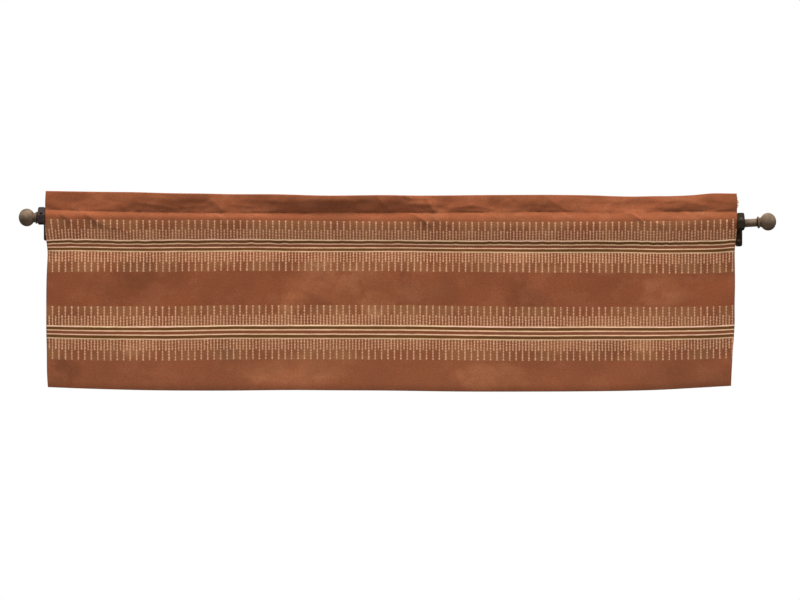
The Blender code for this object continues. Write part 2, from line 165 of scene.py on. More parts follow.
# How far the header's front stands forward of the stitching at each quarter of its height, and
# how deep it is tucked in along the stitching.
HEADER = table(
    "x low middle high edge tuck",
    (-687, 0.7, 0.7, 1.0, 0.5, 0.4), (-630, -1.2, -1.7, -0.8, 0.3, 0.3),
    (-582, -1.4, -1.9, -2.0, -2.8, 0.5), (-534, -0.1, -0.1, -0.1, -1.1, 0.8),
    (-486, 0.4, 1.5, 2.6, 2.3, 0.9), (-439, 0.9, 3.3, 5.6, 6.0, 1.0),
    (-391, -0.6, 0.8, 4.0, 5.8, 0.9), (-343, 0.3, 0.2, 0.4, 0.0, 0.9),
    (-316, -1.6, -2.2, -1.6, -1.6, 0.6), (-272, -0.6, 0.4, 2.0, 2.8, 1.0),
    (-224, 2.0, 3.6, 5.9, 6.3, 0.9), (-176, 3.0, 6.3, 8.8, 8.6, 1.0),
    (-129, 1.4, 5.4, 9.4, 10.2, 0.9), (-81, 2.3, 5.0, 8.4, 8.8, 1.1),
    (-33, 1.3, 3.0, 5.3, 6.3, 1.1), (15, 2.2, 4.2, 6.4, 7.2, 1.1), (62, 1.0, 3.0, 1.4, 0.6, 1.1),
    (110, -1.3, -1.7, -1.7, -1.5, 0.6), (158, 0.0, 0.3, 0.4, -0.4, 1.0),
    (205, -2.7, -3.0, -2.5, -2.1, 0.9), (253, -0.7, -0.6, -0.9, -2.5, 0.5),
    (301, 0.3, 1.0, 0.6, -0.6, 0.8), (348, -1.4, -1.5, -1.9, -3.5, 0.6),
    (396, -1.9, -3.4, -4.0, -5.0, 0.2), (444, -2.7, -4.5, -4.9, -6.6, 0.1),
    (492, -3.5, -5.5, -5.6, -5.5, 0.1), (539, -0.3, -1.6, -1.7, -4.0, 0.6),
    (587, 0.4, 0.2, -1.4, -5.6, 1.3), (635, -0.6, -1.0, -0.9, -2.0, 1.1),
    (687, -0.2, -0.5, 0.2, -0.9, 0.9),
)

# The header's top edge, which waves more than the rest.
TOP_EDGE = table(
    "x z",
    (-687, 58.9), (-634, 58.1), (-554, 57.1), (-514, 56.6), (-474, 55.4), (-435, 54.2),
    (-375, 53.6), (-315, 52.6), (-236, 52.2), (-196, 51.2), (-156, 49.9), (-117, 49.3),
    (-77, 49.8), (-17, 50.4), (42, 49.7), (122, 50.2), (201, 51.0), (321, 51.2), (400, 50.4),
    (440, 48.9), (480, 48.1), (520, 48.7), (559, 49.0), (599, 50.8), (639, 54.2), (687, 53.8),
)

# Where the two side edges hang, at falling heights.
SIDES = table(
    "z left right",
    (60, 686.4, 686.8), (38, 687.4, 687.4), (-5, 687.3, 687.0), (-44, 685.0, 684.5),
    (-65, 683.2, 683.2), (-115, 685.3, 684.4), (-165, 686.0, 683.4), (-211, 686.0, 683.5),
    (-258, 685.1, 680.1), (-306, 684.3, 677.5), (-341, 682.3, 676.5),
)

# ---- The woven border: a block of seven stripes between two rows of ticks ----
CLOTH_WIDTH = 1371.6  # 54 in, flat
REPEAT = 170.9  # the bands repeat down the cloth
UPPER_BAND = 107.0  # middle of the upper band, down the face from the top fold
STRIPE = 4.233  # seven of them, so the outer cream ones lie 25.4 apart
LONG_ABOVE, LONG_BELOW = 40.0, 42.3  # ticks, from the outer cream stripe outwards
SHORT_ABOVE, SHORT_BELOW = 21.3, 22.5
DARK_HALF, DARK_SOFT = 2.4, 0.5  # a stripe's half width, and how soft its edge is
TICK_PITCH = 12.79  # long ticks, with a short one midway
FIRST_TICK = 12.5
TICK_HALF = 1.1
SHORT_TICK_HALF = 1.2
CHAIN_PITCH = 5.7  # each tick is a chain of woven dots
CHAIN_SWELL = 0.55  # and swells by so much at each dot
CHAIN_WANDER = 6.0  # how unevenly the dots are spaced, in radians
TICK_SOFT = 0.35  # how soft a tick is at its sides,
TICK_END_SOFT = 0.6  # and at its end
TICK_HEAD = 6.0  # it thickens over so much before its end, by this:
LONG_HEAD, SHORT_HEAD = 0.35, 0.1
BLOCK_HALF = 3 * STRIPE
CREAM_SOFT = 0.4
CREAMS = table(
    "place half",
    (-BLOCK_HALF, 1.35), (-STRIPE, 1.3), (STRIPE, 1.2), (BLOCK_HALF, 1.2),
)
TICK_UNEVEN = 0.35  # some ticks are woven thicker than others
STRAY_ACROSS, STRAY_DOWN = 1.2, 1.0  # the yarns stray over so much
MIDDLE_SHIFT = 0.0156  # the print runs a little to the right in the middle,
LOWER_SHIFT = 0.0045  # and less so lower down
LOWER_START, LOWER_END = -70.0, -170.0
PRINT_LEFT, PRINT_RIGHT = -686.0, 682.4
LEAN_LEVEL, LEAN_SLOPE, LEAN_REACH = -19.0, 0.13, 45.0  # ticks lean at the upper left
LEAN_START, LEAN_END, LEAN_TOP = -60.0, -40.0, 10.0

# Heights at which the bands' lines hang: tops of the long ticks, outer cream stripes, and
# ends of the long ticks, of the upper band and the lower one.
LINES = table(
    "x ticks1 top1 base1 ends1 ticks2 top2 base2 ends2",
    (-683, 2.2, -39.6, -59.8, -102.4, -170.3, -209.6, -232.9, -275.6),
    (-640, 2.0, -38.2, -59.8, -101.7, -170.5, -210.6, -234.2, -276.6),
    (-594, 1.6, -38.3, -60.5, -101.2, -170.7, -211.3, -235.1, -277.6),
    (-551, 1.0, -39.5, -61.3, -101.4, -171.0, -211.7, -235.6, -278.3),
    (-514, 0.5, -39.5, -61.6, -101.6, -171.1, -211.9, -235.9, -278.6),
    (-474, 0.3, -39.7, -61.7, -101.5, -171.0, -211.8, -236.2, -278.4),
    (-435, 0.2, -38.8, -61.4, -101.3, -170.9, -211.4, -236.4, -278.2),
    (-319, 0.1, -38.1, -60.9, -99.9, -169.2, -209.1, -234.3, -276.2),
    (-276, -0.1, -37.9, -60.5, -99.8, -169.0, -208.9, -234.4, -276.1),
    (-236, -0.5, -38.6, -61.1, -99.8, -168.8, -209.0, -234.5, -276.0),
    (-196, -0.8, -39.1, -61.8, -99.8, -168.8, -208.8, -234.6, -275.9),
    (-77, -2.0, -39.5, -61.8, -100.2, -168.7, -208.8, -234.7, -276.1),
    (42, -2.7, -40.0, -61.6, -100.7, -169.1, -209.3, -235.1, -276.6),
    (82, -2.9, -40.6, -62.3, -101.1, -169.6, -209.9, -235.6, -277.0),
    (162, -3.2, -40.8, -62.9, -101.7, -170.7, -211.2, -236.5, -277.7),
    (241, -3.3, -40.9, -63.5, -102.6, -171.7, -212.1, -237.3, -278.5),
    (321, -3.2, -40.9, -63.6, -103.1, -172.1, -212.4, -237.6, -278.8),
    (400, -2.8, -40.7, -63.3, -103.2, -172.1, -212.0, -237.1, -278.6),
    (480, -2.6, -41.2, -64.0, -104.0, -172.4, -212.3, -237.0, -278.3),
    (540, -2.2, -42.1, -65.2, -104.9, -172.4, -212.3, -236.6, -277.8),
    (595, -1.6, -41.6, -64.7, -104.9, -172.2, -211.8, -235.7, -276.4),
    (645, 0.0, -40.8, -64.0, -103.8, -170.7, -210.4, -234.6, -274.8),
    (683, 2.0, -38.4, -61.2, -101.8, -169.1, -208.7, -232.7, -273.7),
)

# Soft folds, each a ridge (+) or trough (-) along a line, with its half width and height.
HEADER_FOLDS = table(
    "x1 z1 x2 z2 width height",
    (-634, 34, -594, 48, 7, -0.7), (-586, 48, -542, 34, 8, -0.8), (-578, 38, -522, 28, 6, 0.8),
    (-502, 36, -427, 24, 5, 1.3), (-479, 52, -423, 46, 6, -0.7), (-423, 26, -367, 30, 4, 0.8),
    (-367, 56, -357, 32, 4, 0.9), (-357, 42, -331, 18, 6, 1.4), (-323, 32, -276, 28, 4, 0.9),
    (-308, 56, -256, 42, 7, -0.8), (-244, 40, -200, 34, 6, 1.2), (-208, 46, -160, 56, 6, 1.6),
    (-180, 26, -109, 24, 4, 0.7), (-91, 48, -49, 34, 8, -0.8), (-39, 60, -11, 28, 5, 1.7),
    (3, 64, 36, 44, 4, 2.4), (34, 44, 74, 44, 4, 1.6), (68, 46, 86, 18, 4, 2.1),
    (7, 30, 58, 28, 5, -0.8), (114, 24, 162, 30, 4, 1.2), (158, 30, 205, 22, 4, 1.1),
    (158, 54, 193, 46, 8, -0.7), (223, 54, 249, 34, 6, -1.2), (277, 38, 299, 54, 5, 1.4),
    (297, 54, 350, 18, 7, 1.5), (366, 48, 416, 42, 7, -0.8), (440, 34, 488, 44, 6, 0.8),
    (525, 30, 567, 42, 6, 1.1), (567, 42, 631, 28, 6, 1.2), (615, 60, 659, 52, 7, -0.9),
    (639, 40, 686, 34, 5, 0.9),
)
POCKET_FOLDS = table(
    "x1 z1 x2 z2 width height",
    (-657, 12, -634, 0, 5, 2.2), (-612, 15, -572, -8, 6, 3.0), (-572, -8, -508, -26, 7, 2.2),
    (-596, 12, -578, 4, 4, 0.9), (-359, 20, -335, 2, 3, 1.6), (-345, 6, -327, -8, 3, 0.8),
    (26, 20, 74, -6, 4, 3.4), (70, 16, 94, -4, 4, 1.8), (96, 12, 116, -10, 5, 1.2),
    (142, 12, 174, 14, 5, 1.2), (195, 10, 223, 2, 6, 1.2), (247, 8, 300, 10, 5, 1.2),
    (337, 12, 360, 2, 5, 1.1), (458, 22, 498, -2, 3.5, 3.8), (500, 6, 545, -12, 6, 1.2),
    (585, 14, 640, 6, 6, 1.0), (540, 2, 700, 2, 8, 1.3),
)
PANEL_FOLDS = table(
    "x1 z1 x2 z2 width height",
    (-684, -230, -600, -150, 26, 1.6), (-660, -60, -560, -130, 18, 1.0),
    (-560, -200, -430, -120, 30, -1.2), (-360, -330, -330, -90, 34, 1.0),
    (-40, -340, 10, -120, 30, -1.0), (180, -330, 240, -90, 36, 1.0),
    (470, -320, 440, -100, 32, -0.9), (684, -150, 600, -220, 26, 1.4),
    (684, -280, 610, -330, 20, 1.6), (-684, -300, -620, -335, 18, 1.2),
    (655, -60, 690, -120, 16, -1.4), (-690, -75, -640, -60, 14, -1.0),
    (-420, -340, 360, -342, 34, 3.2), (560, -112, 700, -108, 26, -1.6),
)

# Where the cloth's colour lies paler (+) or darker (-), on the flat cloth: stains in the dye, but
# the last three rows, along the pocket's top under its stitching, are painted shade (-) and
# painted highlight (+).
STAINS_AND_PAINTED_LIGHT = table(
    "across down half_width half_height share",
    (487, 218, 26, 26, 0.42), (657, 224, 32, 22, 0.40), (551, 138, 30, 18, 0.34),
    (186, 314, 34, 20, 0.38), (880, 364, 66, 26, 0.30), (1011, 300, 44, 20, 0.26),
    (1197, 306, 26, 16, 0.30), (1227, 194, 40, 32, 0.28), (577, 182, 95, 40, 0.30),
    (480, 358, 100, 26, 0.30), (417, 126, 40, 16, 0.16), (927, 134, 50, 18, 0.12),
    (740, 202, 60, 26, 0.18), (560, 328, 60, 18, 0.16), (946, 66, 60, 18, 0.20),
    (650, 246, 110, 16, 0.16), (1165, 260, 90, 36, 0.20), (260, 82, 150, 14, 0.12),
    (176, 164, 40, 34, -0.26), (42, 354, 30, 26, -0.36), (16, 258, 26, 16, -0.26),
    (358, 314, 18, 34, -0.26), (957, 210, 46, 22, -0.24), (1121, 310, 36, 22, -0.24),
    (1317, 310, 44, 30, -0.22), (713, 170, 12, 34, -0.24), (1277, 124, 46, 10, -0.26),
    (1150, 128, 90, 14, -0.18), (746, 128, 60, 14, -0.14), (216, 42, 100, 9, -0.16),
    (1276, 44, 100, 12, 0.14), (950, 46, 220, 12, 0.08),
)
PATCH_END = 1.7  # a patch ends where half sizes away, squared, come to this
PATCH_STRAY = 60.0  # its ragged edge strays over this much
PALER, DARKER = (1.62, 2.0, 2.1, 1), (0.4, 0.42, 0.46, 1)  # what a whole patch does to the colour
WEAVE_PITCH = 1.1  # of the threads on the cloth's back

# ---- Thread (metres) ----
STITCH_PITCH = 0.0032
STITCH_HALF = 0.0012
THREAD_RADIUS = 0.00024
THREAD_SIDES = 6
STITCH_SHAPE = table(  # along in half stitches; girth and lift in thread radii
    "along girth lift",
    (-1.0, 0.35, -1.2), (-0.7, 0.9, -0.2), (0.0, 1.0, 0.1), (0.7, 0.9, -0.2), (1.0, 0.35, -1.2),
)
OVERLOCK_RADIUS = 1.7 * THREAD_RADIUS
OVERLOCK_STEPS = 6  # points in each turn round the edge
TAIL_PITCH, TAIL_REACH = 0.003, 0.0012  # overlock on the back layer's lower edge,
END_PITCH, END_REACH = 0.0014, 0.0028  # and, looser, at the header's right end
ROOM = Vector((0, -1, 0))  # out of the cloth's face

# ---- Camera and studio ----
PICTURE_WIDTH_PX = 800
METRES_PER_PX = 0.0019854  # at the cloth's face
PICTURE_MIDDLE = (0.0176, -0.1580)  # X and Z of what lies in the middle of the picture
CLOTH_FACE_Y = -0.066
CAMERA_DISTANCE = 5.0
SENSOR_WIDTH = 36  # millimetres
FLOOR_Z = -2.1
FLOOR_CORNERS = [(-4, -4, 0), (4, -4, 0), (4, 4, 0), (-4, 4, 0)]
LAMPS = table(
    "name place target size power",
    ("key", (0.1, -0.7, 2.2), (0.05, -0.06, -0.1), (3.2, 0.8), 125),
    ("behind", (0.6, 2.2, 2.0), (0, 0, -0.15), (2.5, 1.0), 40),
)
SKY = {  # the light from all round, and what reflections meet instead
    "From Min": (-1, -0.4),  # it grows from this height of the sky,
    "To Min": (0.42, 0.1),  # from this strength
    "To Max": (0.75, 1.15),  # to this one, overhead
}
WHITE = (1, 1, 1, 1)


# ---- Helpers ----
def read_smooth(rows, column, where):
    """A smooth curve through one column of a table, read at a value of its first one."""
    rows = sorted(rows, key=lambda row: row[0])
    places = [row[0] for row in rows]
    values = [getattr(row, column) for row in rows]
    where = min(max(where, places[0]), places[-1])
    last = len(rows) - 1
    i = max(k for k in range(last) if places[k] <= where)

    def slope(k):
        before, after = max(k - 1, 0), min(k + 1, last)
        return (values[after] - values[before]) / (places[after] - places[before])

    span = places[i + 1] - places[i]
    t = (where - places[i]) / span
    return (values[i] * (1 + 2 * t) * (1 - t) ** 2 + slope(i) * span * t * (1 - t) ** 2
            + values[i + 1] * t * t * (3 - 2 * t) - slope(i + 1) * span * t * t * (1 - t))


def read_straight(knots, where):
    """A value on the straight runs between (place, value) knots."""
    for (start, low), (end, high) in zip(knots, knots[1:]):
        if where <= end:
            break
    return low + (high - low) * (where - start) / (end - start)


def ease(t):
    t = min(max(t, 0.0), 1.0)
    return t * t * (3 - 2 * t)


def arc(centre, radius, start, end, steps):
    return [(centre[0] + radius * cos(start + (end - start) * i / steps),
             centre[1] + radius * sin(start + (end - start) * i / steps))
            for i in range(steps + 1)]


def rod_height(x):
    """Height of the rod's axis, in metres."""
    return read_smooth(ROD_LINE, "z", x / MM) * MM


def uneven(x, name):
    """One of the named kinds of unevenness along the cloth."""
    seed, size, height = UNEVEN[name]
    return height * 2 * noise.noise(Vector((x / size, seed * SEED_STEP, 0.5)))


def crumples(x, z, sizes):
    """Smooth unevenness over the cloth, drawn out a little across it."""
    return sum(height * 2 * noise.noise(Vector(((x - 0.5 * z) / size, 1.3 * z / size, size)))
               for size, height in sizes)


def set_up(thing, **settings):
    """The same thing, with some of its properties set."""
    for name, value in settings.items():
        setattr(thing, name, value)
    return thing


def ring(centre, right, up, radius, sides):
    turns = [2 * pi * k / sides for k in range(sides)]
    return [centre + (right * cos(turn) + up * sin(turn)) * radius for turn in turns]


def add_object(name, data, *materials):
    obj = bpy.data.objects.new(name, data)
    bpy.context.scene.collection.objects.link(obj)
    for material in materials:
        data.materials.append(material)
    return obj


def mesh_object(name, source, *materials):
    """An object from (vertices, faces), or from a bmesh, which is then freed."""
    mesh = bpy.data.meshes.new(name)
    if isinstance(source, bmesh.types.BMesh):
        bmesh.ops.recalc_face_normals(source, faces=source.faces)
        source.to_mesh(mesh)
        source.free()
    else:
        vertices, faces = source
        mesh.from_pydata(vertices, [], faces)
    mesh.shade_smooth()
    return add_object(name, mesh, *materials)


def finish_piece(obj, slot, *nodes):
    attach(obj, "root")
    if nodes:
        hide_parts(*nodes)


# ---- Materials ----
def tone(*colour):
    """A colour as screens write it, made linear."""
    shares = [channel / 255 for channel in colour]
    return (*(c / 12.92 if c <= 0.04045 else ((c + 0.055) / 1.055) ** 2.4 for c in shares), 1)


def arithmetic(name):
    return lambda self, *others: self.graph.math(name, self, *others)


class Value:
    """Something that varies over a surface; sums with it add nodes to its graph."""

    def __init__(self, graph, socket):
        self.graph = graph
        self.socket = socket

    __add__ = __radd__ = arithmetic("ADD")
    __sub__ = arithmetic("SUBTRACT")
    __mul__ = arithmetic("MULTIPLY")
    __truediv__ = arithmetic("DIVIDE")
    __abs__ = arithmetic("ABSOLUTE")


class Graph:
    """The nodes of a material or a world, made by short calls. An input takes a number, a
    colour or a Value."""

    def __init__(self, owner):
        owner.use_nodes = True
        self.owner = owner
        self.tree = owner.node_tree

    def feed(self, node, inputs):
        for key, value in inputs.items():
            if isinstance(value, Value):
                self.tree.links.new(value.socket, node.inputs[key])
            else:
                node.inputs[key].default_value = value

    def finish(self, **inputs):
        """Feeds the shader; an input's name has _ for a space."""
        inputs = {name.replace("_", " "): value for name, value in inputs.items()}
        self.feed(self.tree.nodes["Principled BSDF"], inputs)
        return self.owner

    def add(self, kind, inputs, output=0, **settings):
        node = set_up(self.tree.nodes.new("ShaderNode" + kind), **settings)
        self.feed(node, inputs)
        return Value(self, node.outputs[output])

    def math(self, operation, *values):
        return self.add("Math", dict(enumerate(values)), operation=operation)

    def greatest(self, first, *others):
        for other in others:
            first = self.math("MAXIMUM", first, other)
        return first

    def smooth(self, value, start, end, low=0.0, high=1.0):
        """Goes smoothly from low, at start, to high, at end; start may be the greater."""
        inputs = {0: value, 1: start, 2: end, 3: low, 4: high}
        return self.add("MapRange", inputs, interpolation_type="SMOOTHSTEP")

    def mix(self, share, one, other, blend="MIX"):
        inputs = {0: share, 6: one, 7: other}
        return self.add("Mix", inputs, output=2, data_type="RGBA", blend_type=blend)

    def noise(self, vector, scale, stretch=(1, 1, 1), detail=2.0, roughness=0.5):
        """Cloudy waves from 0 to 1, about so many to a metre, squeezed by the stretch."""
        if stretch != (1, 1, 1):
            vector = self.add("Mapping", {"Vector": vector, "Scale": stretch})
        return self.add("TexNoise", {"Vector": vector, "Scale": scale, "Detail": detail,
                                     "Roughness": roughness})

    def bump(self, height, distance, strength=1.0, **normal):
        inputs = {"Strength": strength, "Distance": distance, "Height": height, **normal}
        return self.add("Bump", inputs)


def new_material(name):
    """The graph of a new material, and places on its object in metres."""
    g = Graph(bpy.data.materials.new(name))
    return g, g.add("TexCoord", {}, output="Object")


def woven_border(g, across, down, wobble):
    """The border, from places on the flat cloth in millimetres: masks for each cream stripe,
    the dark ones, the red one, the ticks, and the band's own browner ground. The wobble
    varies the spacing of the woven dots."""
    from_band = g.math("WRAP", down - UPPER_BAND, REPEAT / 2, -REPEAT / 2)
    off = abs(from_band)
    below = g.math("GREATER_THAN", from_band, 0.0)
    outside_block = g.math("GREATER_THAN", off, BLOCK_HALF + 1)

    def reach(above, under):
        return below * (under - above) + (BLOCK_HALF + above)

    def stripe(place, half, softness):
        return g.smooth(abs(from_band - place), half + softness, half - softness)

    def ticks(first, end, half, head):
        steps = (across - first) / TICK_PITCH
        number = g.math("ROUND", steps)
        chance = g.add("TexWhiteNoise", {"W": number + below}, noise_dimensions="1D")
        turn = chance * (2 * pi) + off * (2 * pi / CHAIN_PITCH) + wobble * CHAIN_WANDER
        half = g.math("COSINE", turn) * CHAIN_SWELL + half + (chance - 0.5) * TICK_UNEVEN
        half += g.smooth(off, end - TICK_HEAD, end, 0.0, head)
        away = abs((steps - number) * TICK_PITCH) - half
        return (g.smooth(away, TICK_SOFT, -TICK_SOFT)
                * g.smooth(off - end, TICK_END_SOFT, -TICK_END_SOFT))

    creams = [stripe(cream.place, cream.half, CREAM_SOFT) for cream in CREAMS]
    dark = g.greatest(*(stripe(side * 2 * STRIPE, DARK_HALF, DARK_SOFT) for side in (-1, 1)))
    red = stripe(0.0, DARK_HALF, DARK_SOFT)
    long_end, short_end = reach(LONG_ABOVE, LONG_BELOW), reach(SHORT_ABOVE, SHORT_BELOW)
    tick = g.greatest(
        ticks(FIRST_TICK, long_end, TICK_HALF, LONG_HEAD),
        ticks(FIRST_TICK - TICK_PITCH / 2, short_end, SHORT_TICK_HALF, SHORT_HEAD),
    ) * outside_block
    ground = g.smooth(off - long_end, 1.5, -1.0) * outside_block
    return creams, dark, red, tick, ground


def cloth_material(name):
    """The graph of a new material, and places on the flat cloth: the vector in metres, and
    across and down in millimetres."""
    g = Graph(bpy.data.materials.new(name))
    vector = g.add("UVMap", {}, uv_map="Cloth")
    across, down = (g.add("SeparateXYZ", {0: vector}, output=axis) / MM for axis in (0, 1))
    return g, vector, across, down


def stains_and_painted_light(g, across, down, sign):
    """How much the patches of one sign change the cloth, from 0 to about 0.4: stains, and on the
    pocket's top painted highlight (+) and painted shade (-).
    """
    total = 0.0
    for tone_patch in STAINS_AND_PAINTED_LIGHT:
        if tone_patch.share * sign > 0:
            x = (across - tone_patch.across) / tone_patch.half_width
            y = (down - tone_patch.down) / tone_patch.half_height
            total += g.smooth(x * x + y * y, PATCH_END, 0.0, 0.0, abs(tone_patch.share))
    return total


def face_cloth():
    """Rust suede-like cloth with its woven border."""
    g, vector, across, down = cloth_material("rust_suede_cloth")
    # The weave isn't quite even, nor the dots along its ticks.
    woven_across = across + (g.noise(vector, 260, detail=1) - 0.5) * STRAY_ACROSS
    woven_down = down + (g.noise(vector, 45, (1, 3, 1), detail=1) - 0.5) * STRAY_DOWN
    wobble = g.noise(vector, 110, detail=1)
    creams, dark, red, tick, ground = woven_border(g, woven_across, woven_down, wobble)

    # Rust in two tones; paler in blotches, towards the hem and on thick yarns; a dark grain.
    broad = g.noise(vector, 9, (1, 1.3, 1), detail=5, roughness=0.6)
    slub = g.noise(vector, 130, (0.6, 2.2, 1), detail=3)
    blotch = g.noise(vector, 16, (1, 1.3, 1), detail=6, roughness=0.66)
    grain = g.noise(vector, 290, (0.8, 1.7, 1), detail=4, roughness=0.9)
    colour = g.mix(g.smooth(broad, 0.38, 0.66), tone(144, 79, 50), tone(131, 73, 46))
    for waves, start, end, share, paint in (
            (blotch, 0.5, 0.6, 0.32, (161, 99, 69)), (down, 290, 340, 0.2, (166, 104, 72)),
            (slub, 0.35, 0.75, 0.22, (152, 88, 56)), (grain, 0.38, 0.64, 0.52, (98, 55, 31))):
        colour = g.mix(g.smooth(waves, start, end, 0.0, share), colour, tone(*paint))

    # The bands' ground is browner in patches, with dark specks.
    patch = g.smooth(g.noise(vector, 20, detail=3), 0.35, 0.65, 0.1, 0.7)
    colour = g.mix(ground * patch, colour, tone(150, 101, 66))
    speck = g.noise(vector, 380, (1, 1.8, 1), detail=3, roughness=0.7)
    speck = g.smooth(speck, 0.45, 0.66, 0.0, 0.5)
    colour = g.mix(ground * speck, colour, tone(92, 58, 34))

    # The stains, and the painted highlight and shade on the pocket's top, ragged at their edges
    # and uneven within.
    ragged = g.noise(vector, 34, detail=5, roughness=0.65)
    patch_across = across + (ragged - 0.5) * PATCH_STRAY
    patch_down = down + (broad - 0.5) * PATCH_STRAY
    uneven_patch = g.smooth(ragged, 0.36, 0.6, 0.55, 1.35)
    for sign, change in ((1, PALER), (-1, DARKER)):
        share = stains_and_painted_light(g, patch_across, patch_down, sign) * uneven_patch
        colour = g.mix(share, colour, change, "MULTIPLY")

    # The border: worn ticks, then dark, red and cream stripes. The cream yarns differ.
    worn = g.smooth(g.noise(vector, 190, detail=3), 0.32, 0.66, 0.6, 1.0)
    colour = g.mix(tick * worn, colour, tone(213, 158, 124))
    dark_tone = g.mix(g.smooth(g.noise(vector, 14, (1, 4, 1)), 0.35, 0.65),
                      tone(89, 59, 20), tone(104, 65, 29))
    colour = g.mix(dark * 0.95, colour, dark_tone)
    colour = g.mix(red * 0.8, colour, tone(123, 69, 43))
    slack = g.noise(vector, 30, (1, 7, 1), detail=3, roughness=0.6)
    tint = g.noise(vector, 5, (1, 60, 1), detail=2)
    yarns = (((242, 205, 163), (246, 197, 169)), ((227, 189, 148), (231, 185, 151)),
             ((231, 193, 154), (237, 190, 158)), ((203, 175, 134), (210, 171, 140)))
    for cream, (yellow, pink) in zip(creams, yarns):
        yarn = g.mix(g.smooth(tint, 0.4, 0.6), tone(*yellow), tone(*pink))
        share = cream * g.smooth(slack, 0.32, 0.6, 0.72, 1.0)
        colour = g.mix(share, colour, yarn)

    # Ticks and cream stripes stand up and dark ones lie low, under a fine rough nap.
    relief = g.bump(dark * -0.5 + g.greatest(*creams, tick), 0.0003, 0.5)
    nap = g.bump(slub * 0.5 + grain, 0.0004, 0.5, Normal=relief)
    return g.finish(Base_Color=colour, Roughness=0.92, Specular_IOR_Level=0.2, Normal=nap,
                    Sheen_Weight=0.25, Sheen_Roughness=0.5, Sheen_Tint=tone(230, 170, 130))


def reverse_cloth():
    """The cloth's plain woven back, with the border showing through faintly."""
    g, vector, across, down = cloth_material("reverse_weave")
    creams, dark, _, tick, _ = woven_border(g, across, down, 0.0)
    turn = 2 * pi / WEAVE_PITCH
    weave = g.math("SINE", across * turn) * g.math("SINE", down * turn)
    slub = g.noise(vector, 110, (0.4, 5, 1), detail=3)
    colour = g.mix(g.smooth(slub, 0.3, 0.75), tone(176, 136, 104), tone(158, 112, 80))
    colour = g.mix(g.smooth(weave, -1, 1, 0.0, 0.18), colour, tone(110, 76, 52))
    for mask in (tick, *creams):
        colour = g.mix(mask * 0.4, colour, tone(122, 80, 52))
    colour = g.mix(dark * 0.3, colour, tone(196, 160, 126))
    height = slub * 1.5 + weave
    return g.finish(Base_Color=colour, Roughness=0.9, Specular_IOR_Level=0.2,
                    Normal=g.bump(height, 0.0003, 0.5))


def thread(name, light, shade):
    """Twisted sewing thread."""
    g, place = new_material(name)
    twist = g.noise(place, 1500, (1, 1, 3), detail=1)
    colour = g.mix(g.smooth(twist, 0.3, 0.7), shade, light)
    return g.finish(Base_Color=colour, Roughness=0.7, Specular_IOR_Level=0.3,
                    Normal=g.bump(twist, 0.0002, 0.4))


def antique_brass():
    """Brushed brass under a dull brown patina, darker in its hollows."""
    g, place = new_material("antique_brass_patina")
    broad = g.noise(place, 60, detail=4, roughness=0.6)
    brushed = g.noise(place, 500, (8, 1, 1), detail=2)
    colour = g.mix(g.smooth(broad, 0.35, 0.7), tone(137, 117, 99), tone(107, 88, 70))
    colour = g.mix(g.smooth(brushed, 0.4, 0.8, 0.0, 0.25), colour, tone(146, 124, 94))
    hollow = g.add("AmbientOcclusion", {"Distance": 0.006}, output="AO")
    colour = g.mix(g.smooth(hollow, 0.95, 0.5, 0.0, 0.7), colour, tone(48, 36, 25))
    return g.finish(Base_Color=colour, Metallic=0.55,
                    Roughness=g.smooth(broad, 0.3, 0.7, 0.3, 0.42),
                    Specular_Tint=tone(160, 146, 126),
                    Normal=g.bump(brushed, 0.0001, 0.2))


def dark_metal(metal):
    """Dark metal with a fine cast skin, paler here and there: rubbed wear, and on the left
    bracket also painted light.
    """
    g, place = new_material(metal.name)
    skin = g.noise(place, 900, detail=3, roughness=0.6)
    rub_and_light_mask = g.noise(place, 160, detail=4, roughness=0.65)
    colour = g.mix(g.smooth(rub_and_light_mask, 0.5, 0.8, 0.0, 0.5), tone(*metal.base), tone(*metal.rubbed))
    return g.finish(Base_Color=colour, Metallic=0.15, Specular_IOR_Level=metal.gloss,
                    Roughness=g.smooth(skin, 0.3, 0.7, metal.roughness, metal.roughness + 0.15),
                    Normal=g.bump(skin, 0.00015, 0.35))


# ---- Cloth ----
def fold_height(folds, shape, x, z):
    """How far the folds push the cloth into the room at one place."""
    total = 0.0
    for fold in folds:
        run_x, run_z = fold.x2 - fold.x1, fold.z2 - fold.z1
        length = hypot(run_x, run_z)
        along = ((x - fold.x1) * run_x + (z - fold.z1) * run_z) / length ** 2
        off = ((x - fold.x1) * run_z - (z - fold.z1) * run_x) / length
        if abs(along - 0.5) < FOLD_HALF and abs(off) < FOLD_SIDES * fold.width:
            ends = ease((FOLD_HALF - abs(along - 0.5)) / FOLD_FADE)
            total += fold.height * ends * shape(off / fold.width)
    return total


def crisp(u):
    """A fold with a sharp crest and long flanks."""
    return exp(CREST - (u * u + CREST * CREST) ** 0.5)


def soft(u):
    return exp(-u * u)


def gathers(x, name, distance):
    """Small gathers beside a line of stitching, greatest a few millimetres from it."""
    near = max(distance, 0.0) / PUCKER_REACH
    return uneven(x, name) * near * exp(1 - near)


def pocket_side(crease, seam, forward, steps):
    """One side of the rod pocket, from its upper to its lower stitching, as (out, up) from
    the rod axis: a full curve down to the rod's side, and a slacker one on down."""
    path = []
    upper_steps, lower_steps = steps
    start = HALF_GAP + forward
    for i in range(upper_steps + 1):
        share = i / upper_steps
        left = (1 - share) ** POCKET_FULLNESS * (1 + POCKET_SHOULDER * share)
        path.append((start + (CLOTH_ON_ROD - start) * (1 - left), crease * (1 - share)))
    for i in range(1, lower_steps + 1):
        share = i / lower_steps
        reach = CLOTH_ON_ROD - HALF_GAP
        path.append((HALF_GAP + reach * (1 - share ** POCKET_SLACK), seam * share))
    return path


